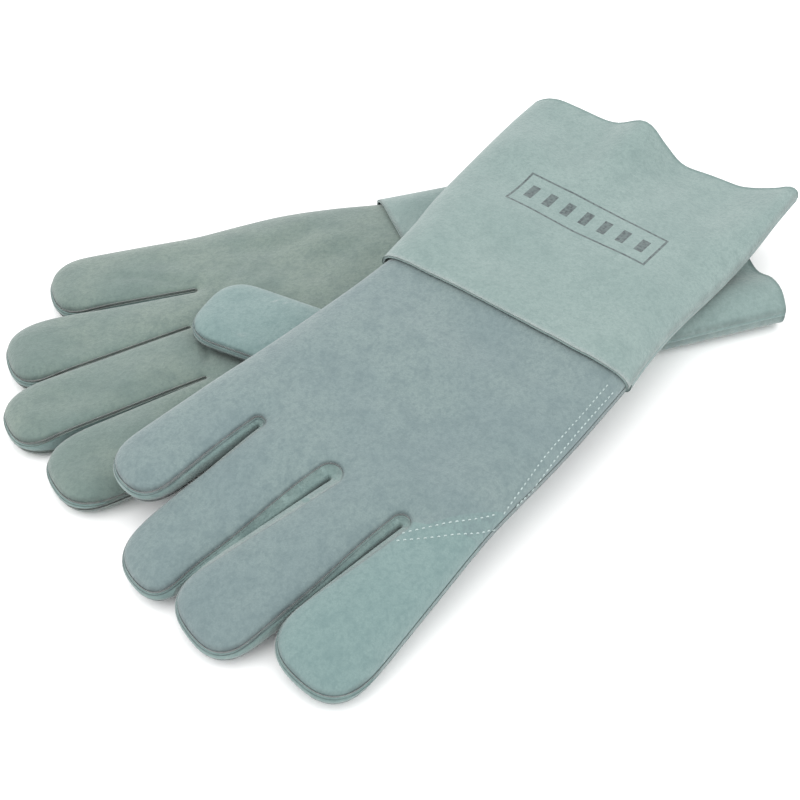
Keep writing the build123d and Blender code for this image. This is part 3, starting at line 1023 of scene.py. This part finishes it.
def suede(name, colour, spots, dark, scale, other=None, mark=False, seam_shade_strength=0.7):
    """Split leather: a short nap with cloudy colour, and painted shade in the groove where it rolls into a
    seam.
    """
    material, tree, shader = node_tree(name)
    where = attribute(tree, "rest")["Vector"]
    edge = attribute(tree, "edge")["Fac"]
    # Near black: the colour of the painted shade in the seam grooves.
    seam_shade_colour = shade(dark, 0.42 * TONE)
    colour, spots, dark = (shade(x, TONE) for x in (colour, spots, dark))
    cloud = noise_node(tree, where, 26, 4, 0.55)
    mottle = noise_node(tree, where, 150, 3, 0.6)
    nap = noise_node(tree, where, 1500 * scale, 3, 0.7)
    pores = noise_node(tree, where, 520 * scale, 2, 0.6)
    base = mix(tree, ramp(tree, cloud, 0.35, 0.68, 0.0, 1.0), colour, spots)
    if other:
        base = mix(tree, beyond_seam(tree, where), base, shade(other, TONE))
    base = mix(tree, ramp(tree, mottle, 0.42, 0.72, 0.0, 0.45), base, dark)
    base = mix(tree, ramp(tree, pores, 0.42, 0.7, 0.0, 0.5), base, dark)
    base = mix(tree, ramp(tree, nap, 0.3, 0.75, 0.45, 0.0), base, dark)
    # Painted shade in the seam grooves, fading within about 1.3 mm of the seam and made patchy by the mottle
    # noise.
    patchy_seam_shade = ramp(tree, mottle, 0.3, 0.6, 0.45, 1.0)
    seam = calc(tree, "MULTIPLY", ramp(tree, edge, -0.2, 1.3, seam_shade_strength, 0.0), patchy_seam_shade)
    base = mix(tree, seam, base, seam_shade_colour)
    if mark:
        ink = calc(tree, "MULTIPLY", ink_mark(tree, where), ramp(tree, pores, 0.3, 0.62, 0.95, 0.6))
        base = mix(tree, ink, base, shade(INK))
    fine = bump_node(tree, nap, 0.35, 0.0005)
    look = {
        "Base Color": base,
        "Roughness": 0.93,
        "Specular IOR Level": 0.12,
        "Sheen Weight": 0.35,
        "Sheen Roughness": 0.55,
        "Normal": bump_node(tree, pores, 0.3, 0.0011, fine),
    }
    put(tree, shader, look)
    return material


def thread(name, colour):
    material, tree, shader = node_tree(name)
    fluff = noise_node(tree, attribute(tree, "rest")["Vector"], 1800, 2, 0.6)
    base = mix(tree, ramp(tree, fluff, 0.35, 0.7, 0.0, 1.0), shade(colour), shade(colour, 0.7))
    put(tree, shader, {"Base Color": base, "Roughness": 0.8})
    return material


def cotton(name):
    material, tree, shader = node_tree(name)
    where = attribute(tree, "rest")["Vector"]
    wave = tree.nodes.new("ShaderNodeTexWave")
    put(tree, wave, {"Vector": where, "Scale": 420, "Distortion": 1.5})
    fluff = noise_node(tree, where, 900, 3, 0.6)
    base = mix(tree, ramp(tree, fluff, 0.3, 0.7, 0.0, 1.0), *(shade(x) for x in COTTON_COLOURS))
    weave = bump_node(tree, wave.outputs["Fac"], 0.3, 0.0004)
    put(tree, shader, {"Base Color": base, "Roughness": 0.95, "Normal": weave})
    return material


HAND = {side: suede(f"hand_suede_{side}", *HAND_COLOURS[side], 1.0) for side in SIDES}
HAND_BACK = suede("hand_back_suede", *HAND_COLOURS["right"], 1.0, INDEX_COLOURS[0])
INDEX = suede("index_suede", *INDEX_COLOURS, 1.0)
CUFF = {
    side: suede(f"cuff_suede_{side}", *CUFF_COLOURS, 1.1, mark=side == "right", seam_shade_strength=0.45)
    for side in SIDES
}
STRIP = suede("strip_suede", *STRIP_COLOURS, 1.0)
THREAD = {"index": thread("seam_thread", SEAM_THREAD), "cuff": thread("cuff_thread", CUFF_THREAD)}
LINING = cotton("cotton_lining")

# ------------------------------------------------------------------ hands and fingers


def build_hand(glove):
    """The upper and the lower leaf, each cut into the hand and its fingers."""
    side = glove.side
    for part, height, upper in zip(LEAVES[side], (glove.top, glove.bottom), (True, False)):
        (points, faces), edge = leaf(glove.outline, height, upper)
        points, faces, attributes = with_thickness(points, faces, LEATHER, {"edge": edge})
        bm = to_bmesh(glove, points, faces, attributes)
        finger_part = "front" if part == "palm" else "back"
        names = by_part(side, f"{finger_part}_suede") | {-1: f"{side}_hand_{part}_suede"}
        for k, obj in pieces_of(glove, bm, names).items():
            if k < 0:
                leather = HAND_BACK if side == "right" and upper else HAND[side]
                dress(obj, leather, "hand_leather", f"{side}_hand_{part}")
            else:
                leather = INDEX if k == 0 and side == "right" else HAND[side]
                slot = "index_thumb_leather" if k == 0 else "hand_leather"
                dress(obj, leather, slot, f"{side}_{FINGERS[k]}_{finger_part}")
            attach(glove, obj, k)


def build_sides(glove):
    """The strips between the leaves: welts along the hand, fourchettes round the fingers."""
    side = glove.side
    points, faces, attributes = plain_shell(*strip(glove.outline), WELT_LEATHER)
    bm = to_bmesh(glove, points, faces, attributes)
    names = by_part(side, "side_suede") | {-1: f"{side}_hand_welt_suede"}
    for k, obj in pieces_of(glove, bm, names).items():
        node = "hand_welts" if k < 0 else f"{FINGERS[k]}_fourchette"
        dress(obj, STRIP, "welt_leather", f"{side}_{node}")
        attach(glove, obj, k)


def bag(outline, top, bottom):
    """A closed bag of thin cotton from an upper and a lower surface that share an outline."""
    (p, faces), _ = leaf(outline, top, True, COARSE, LINING_SPACING)
    (q, more), _ = leaf(outline, bottom, False, COARSE, LINING_SPACING)
    return np.vstack([p, q]), faces + [tuple(i + len(p) for i in f) for f in more]


def lining_outline(outline, inset):
    seams = np.stack([np.zeros(len(outline.points)), outline.inset + inset], 1)
    return Outline(outline.points, seams, outline.closed)


def build_liners(glove):
    """The brushed cotton inside the hand and fingers, a closed tube under both leaves."""
    side = glove.side

    def top(at, e, seam, inset):
        return glove.top(at, e, seam, inset) - LINING_GAP * smooth((e - inset) / 3) - SEAM_LIP

    def bottom(at, e, seam, inset):
        return glove.bottom(at, e, seam, inset) + LINING_GAP * smooth((e - inset) / 3) + SEAM_LIP

    points, faces = bag(lining_outline(glove.outline, LINING_INSET), top, bottom)
    bm = to_bmesh(glove, points, faces, {})
    for k, obj in pieces_of(glove, bm, by_part(side, "cotton")).items():
        part = "hand" if k < 0 else FINGERS[k]
        dress(obj, LINING, "cotton_lining", f"{side}_{part}_liner")
        attach(glove, obj, k)


def thumb_outline(glove):
    root, way, across = glove.thumb_root[:2], glove.thumb_way, glove.thumb_side
    back = root + way * THUMB_CORNER
    reach = THUMB_HALF - THUMB_CORNER
    circles = [
        (*(back + across * reach), THUMB_CORNER),
        *blunt(root + way * THUMB_LENGTH, THUMB_RADIUS, way),
        (*(back - across * reach), THUMB_CORNER),
    ]
    path, _ = round_path(circles, [("tip", "tip")] * 4, True)
    values = np.tile(THUMB_SEAM, (len(path), 1))
    path, values = resample(path, values, np.full(len(path), 1.6), True)
    return Outline(soften(path, 2, True), values, True)


def build_thumb(glove):
    """The thumb lies against the palm as a flat stall of two leaves with a welt between them."""
    side = glove.side
    outline = thumb_outline(glove)
    middle = THUMB_MIDDLE[side]
    out, near = THUMB_SWELL[side]
    start = Vector(glove.world(glove.thumb_root))
    end = start + glove.direction(glove.thumb_way) * THUMB_BEND * MM

    def outer(at, e, seam, inset):
        w = swell(seam, out, e - inset, THUMB_ROLL[0], TOP_POWER)
        return w + wobble(at, *THUMB_WAVE) * smooth(e / 12)

    def palm_side(at, e, seam, inset):
        return swell(seam, near, e - inset, THUMB_ROLL[1], BOTTOM_POWER)

    def piece(name, points, faces, attributes, look, node):
        along = (points[:, :2] - glove.thumb_root[:2]) @ glove.thumb_way
        points[:, 2] += middle - math.copysign(ROOT_SINK, middle) * (1 - smooth((along - 8) / 20))
        obj = one_piece(f"{side}_thumb_{name}", glove, points, faces, attributes, 0)
        dress(obj, *look, f"{side}_thumb_{node}")
        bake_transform(obj, f"{side}_hand", f"{side}_thumb", start, end)

    over, under = (outer, palm_side) if middle > 0 else (palm_side, outer)
    for height, sign in ((over, 1), (under, -1)):
        (points, faces), edge = leaf(outline, lambda *place: sign * height(*place), sign > 0)
        shell = with_thickness(points, faces, LEATHER, {"edge": edge})
        part = "back" if height is outer else "front"
        piece(f"{part}_suede", *shell, (INDEX, "index_thumb_leather"), part)
    piece("welt_suede", *plain_shell(*strip(outline, 5), THUMB_WELT), (STRIP, "welt_leather"), "welt")

    def lining_top(at, e, seam, inset):
        return (over(at, e, THUMB_LINING_SEAM, inset) - THUMB_LINING) * smooth((e - inset) / 4)

    def lining_bottom(at, e, seam, inset):
        return -(under(at, e, THUMB_LINING_SEAM, inset) - THUMB_LINING) * smooth((e - inset) / 4)

    points, faces = bag(lining_outline(outline, THUMB_LINING), lining_top, lining_bottom)
    piece("cotton", points, faces, {}, (LINING, "cotton_lining"), "liner")


# ------------------------------------------------------------------ cuffs


def curve_at(points, x):
    """The second value of a smooth curve through the points, at first values x."""
    line = spline(points, 1.0)
    return np.interp(x, line[:, 0], line[:, 1])


def cuff_side(points, u):
    """The v of a cuff's side at u; the side's points run towards the mouth."""
    line = spline(points, 1.0)[::-1]
    return np.interp(u, line[:, 0], line[:, 1])


def cuff_grid(side, inset, offsets, upper=True, lining=False):
    """A cuff leaf's plan points in rows from lap to mouth: u, v, distance from the side, edge row."""
    rows = []
    for share in np.linspace(0, 1, CUFF_ROWS):
        u = CUFF_SPAN[0] + (CUFF_SPAN[1] - CUFF_SPAN[0]) * share
        hi, lo = (float(cuff_side(c, u)) for c in CUFF_SIDES[side])
        e = np.array(offsets) + inset
        inner = np.linspace(hi - e[-1], lo + e[-1], CUFF_COLUMNS)[1:-1]
        v = np.concatenate([hi - e, inner, (lo + e)[::-1]])
        tuck = np.concatenate([np.arange(len(e)), np.full(len(inner), NOT_TUCKED), np.arange(len(e))[::-1]])
        lap = LINING_START if lining else curve_at(LAP_LINE[side], v) - (0 if upper else LOWER_LAP)
        mouth = curve_at(MOUTH_LINE[side], v) + (LINING_SHORT if lining else 0)
        us = lap + (mouth - lap) * share
        far = np.minimum(hi - v, v - lo) - inset
        rows.append(np.column_stack([us, v, far, tuck]))
    return np.array(rows)


def opening(u):
    """How far a cuff has opened out at u, and how close to its mouth that is, from 0 to 1."""
    return smooth((-u - OPENS[0]) / OPENS[1]), smooth((-u - NEAR_MOUTH[0]) / NEAR_MOUTH[1])


def cuff_height(glove, g, upper, seam):
    """Height of a cuff leaf over its grid."""
    side = glove.side
    at, far, tuck = g[..., :2].reshape(-1, 2), g[..., 2].ravel(), g[..., 3].ravel()
    out, near_mouth = opening(at[:, 0])
    middle = SIDE_MIDDLE[side] * out
    if upper:
        full, roll = (at_wrist - less * out for at_wrist, less in (CUFF_TOP, CUFF_ROLL))
        w = middle + swell(seam, full - middle, far, roll, TOP_POWER)
        w += waves(side, at, 1 - 0.6 * out) * smooth(far / 14)
        w += curve_at(MOUTH_WAVE[side], at[:, 1]) * near_mouth * smooth(far / 8)
    else:
        deep = HALF_HAND + LAP_OUT - CUFF_LEATHER
        w = middle - swell(seam, deep + middle, far, *CUFF_BOTTOM)
    sign = 1 if upper else -1
    w = np.where(tuck == 0, middle + sign * (seam - CUFF_TUCK), w)
    w = np.where(tuck == 1, middle + sign * (seam + EDGE_LIP), w)
    return w + curve_at(MOUTH_LIFT[side], at[:, 1]) * near_mouth


def cuff_bend(glove, obj):
    start = Vector(glove.world(np.array([0.0, 0.0, HALF_HAND])))
    end = Vector(glove.world(np.array([-CUFF_BEND, 0.0, HALF_HAND])))
    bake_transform(obj, f"{glove.side}_hand", f"{glove.side}_cuff", start, end)


def cuff_piece(glove, name, points, faces, attributes, look, node):
    obj = one_piece(f"{glove.side}_cuff_{name}", glove, points, faces, attributes)
    dress(obj, *look, f"{glove.side}_cuff_{node}")
    cuff_bend(glove, obj)


def build_cuff(glove):
    side = glove.side
    seam, inset = CUFF_SEAM
    for part, upper in zip(LEAVES[side], (True, False)):
        g = cuff_grid(side, inset, FINE, upper)
        points = np.column_stack([g[..., :2].reshape(-1, 2), cuff_height(glove, g, upper, seam)])
        faces = grid_faces(g.shape[0], g.shape[1], not upper)
        edge = np.minimum(g[..., 2].ravel(), 6)
        shell = with_thickness(points, faces, CUFF_LEATHER, {"edge": edge})
        cuff_piece(glove, f"{part}_suede", *shell, (CUFF[side], "cuff_leather"), part)


def build_cuff_welts(glove):
    """The two side strips, from the lap to the mouth."""
    side = glove.side
    seam, inset = CUFF_SEAM
    g = cuff_grid(side, 0.0, (0.0,), False)
    points, faces = np.zeros((0, 3)), []
    for column, outward in ((0, 1), (-1, -1)):
        u, v = g[:, column, 0], g[:, column, 1]
        out, near_mouth = opening(u)
        middle = SIDE_MIDDLE[side] * out + curve_at(MOUTH_LIFT[side], v) * near_mouth
        rows = []
        for a in np.linspace(1, -1, WELT_ROWS):
            e = inset * abs(a) ** 2.2 + 0.5 * max(0.0, abs(a) - 0.8) / 0.2
            rows.append(np.column_stack([u, v - outward * e, middle + seam * a]))
        base = len(points)
        faces += [tuple(i + base for i in f) for f in grid_faces(WELT_ROWS, len(u), outward < 0)]
        points = np.vstack([points, *rows])
    shell = plain_shell(points, faces, WELT_LEATHER)
    cuff_piece(glove, "welt_suede", *shell, (STRIP, "welt_leather"), "welts")


def build_cuff_lining(glove):
    """A cotton tube, open at both ends."""
    side = glove.side
    g = cuff_grid(side, CUFF_SEAM[1] + LINING_INSET, COARSE, lining=True)
    top, low = (cuff_height(glove, g, upper, 0.0).reshape(g.shape[:2]) for upper in (True, False))
    middle = (top + low) / 2
    near = smooth(g[..., 2] / 4)
    top = np.maximum(top - CUFF_GAP * near, middle + LEAST_GAP)
    low = np.minimum(low + CUFF_GAP * near, middle - LEAST_GAP)
    plan = g[..., :2]
    around = np.concatenate([np.dstack([plan, top]), np.dstack([plan, low])[:, ::-1][:, 1:-1]], axis=1)
    faces = grid_faces(around.shape[0], around.shape[1], False, True)
    shell = with_thickness(around.reshape(-1, 3), faces, COTTON, {})
    cuff_piece(glove, "cotton", *shell, (LINING, "cotton_lining"), "lining")


def stitches(rows, height):
    """Short threads lying along rows of plan points, each a bent capsule pressed into the nap."""
    points, faces = [], []
    for row in rows:
        line = spline(row, 0.5)
        along = np.concatenate([[0], np.cumsum(np.linalg.norm(np.diff(line, axis=0), axis=1))])
        for i in range(int(along[-1] / STITCH_STEP)):
            at = (i + 0.5) * STITCH_STEP + STITCH_LONG * np.array(STITCH_PLACES)
            plan = np.stack([np.interp(at, along, line[:, k]) for k in (0, 1)], 1)
            w = height(plan) + np.array(STITCH_LIFT)
            girth = STITCH_RADIUS * np.array(STITCH_GIRTH)
            d = plan[-1] - plan[0]
            side = np.array([-d[1], d[0]]) / np.linalg.norm(d)
            base = len(points)
            for p, z, g in zip(plan, w, girth):
                for a in np.arange(STITCH_SIDES) * 2 * math.pi / STITCH_SIDES:
                    points.append((*(p + side * g * math.cos(a)), z + g * math.sin(a)))
            tube = grid_faces(len(girth), STITCH_SIDES, False, True)
            ring = tuple(range(STITCH_SIDES))
            last = (len(girth) - 1) * STITCH_SIDES
            ends = [ring[::-1], tuple(last + x for x in ring)]
            faces += [tuple(base + x for x in f) for f in tube + ends]
    return np.array(points), faces


def build_stitches(glove):
    """A row across each cuff, and the double seam of the right index finger."""
    side = glove.side
    across = np.linspace(LITTLE_SIDE[side][0][1] + 5, 60, 8)
    row = [(curve_at(LAP_LINE[side], v) - LAP_STITCH, v) for v in across]

    def on_cuff(plan):
        hi, lo = (cuff_side(c, plan[:, 0]) for c in CUFF_SIDES[side])
        far = np.minimum(hi - plan[:, 1], plan[:, 1] - lo) - CUFF_SEAM[1]
        g = np.column_stack([plan, far, np.full(len(plan), NOT_TUCKED)])
        return cuff_height(glove, g, True, CUFF_SEAM[0])

    points, faces = stitches((row,), on_cuff)
    cuff_piece(glove, "thread", points, faces, {}, (THREAD["cuff"], "thread"), "stitches")
    if side == "left":
        return

    def on_hand(plan):
        return glove.top(plan, *glove.outline.reach(plan))

    points, faces = stitches(INDEX_ROWS, on_hand)
    obj = one_piece("right_index_thread", glove, points, faces, {})
    dress(obj, THREAD["index"], "thread", "right_index_stitches")
    finger_bend(glove, obj, 0)


for glove in [Glove(side) for side in SIDES]:
    build_hand(glove)
    build_sides(glove)
    build_liners(glove)
    build_thumb(glove)
    build_cuff(glove)
    build_cuff_welts(glove)
    build_cuff_lining(glove)
    build_stitches(glove)

# ------------------------------------------------------------------ stage

def area_light(name, place, size, power):
    """A square light that looks at the middle of the pair."""
    light = bpy.data.lights.new(name, "AREA")
    light.energy = power
    light.size = size
    obj = put_in_scene(name, light)
    obj.location = place
    obj.rotation_mode = "QUATERNION"
    obj.rotation_quaternion = (-Vector(place)).to_track_quat("-Z", "Y")


def build_floor():
    signs = ((-1, -1), (1, -1), (1, 1), (-1, 1))
    corners = [(x * FLOOR_HALF, y * FLOOR_HALF, FLOOR_HEIGHT) for x, y in signs]
    mesh = bpy.data.meshes.new("floor")
    mesh.from_pydata(corners, [], [(0, 1, 2, 3)])
    white, tree, shader = node_tree("floor_white")
    put(tree, shader, {"Base Color": shade((FLOOR_WHITE,) * 3), "Roughness": 0.9})
    mesh.materials.append(white)
    put_in_scene("floor", mesh)


def build_world():
    world = bpy.data.worlds.new("studio")
    bpy.context.scene.world = world
    world.use_nodes = True
    background = world.node_tree.nodes["Background"]
    background.inputs["Color"].default_value = (1, 1, 1, 1)
    background.inputs["Strength"].default_value = WORLD_LIGHT


def build_camera():
    a, e = math.radians(AZIMUTH), math.radians(ELEVATION)
    back = Vector((math.sin(a) * math.cos(e), -math.cos(a) * math.cos(e), math.sin(e)))
    lens = bpy.data.cameras.new("camera")
    lens.lens = CAMERA_LENS
    lens.sensor_width = 36
    lens.clip_start, lens.clip_end = 0.05, 20
    camera = put_in_scene("camera", lens)
    camera.location = Vector(CAMERA_AIM) + back * CAMERA_DISTANCE
    camera.rotation_mode = "QUATERNION"
    camera.rotation_quaternion = Quaternion(back, math.radians(ROLL)) @ (-back).to_track_quat("-Z", "Y")
    bpy.context.scene.camera = camera


build_floor()
build_world()
for light in LIGHTS:
    area_light(*light)
build_camera()
bpy.context.scene.view_settings.view_transform = "Standard"
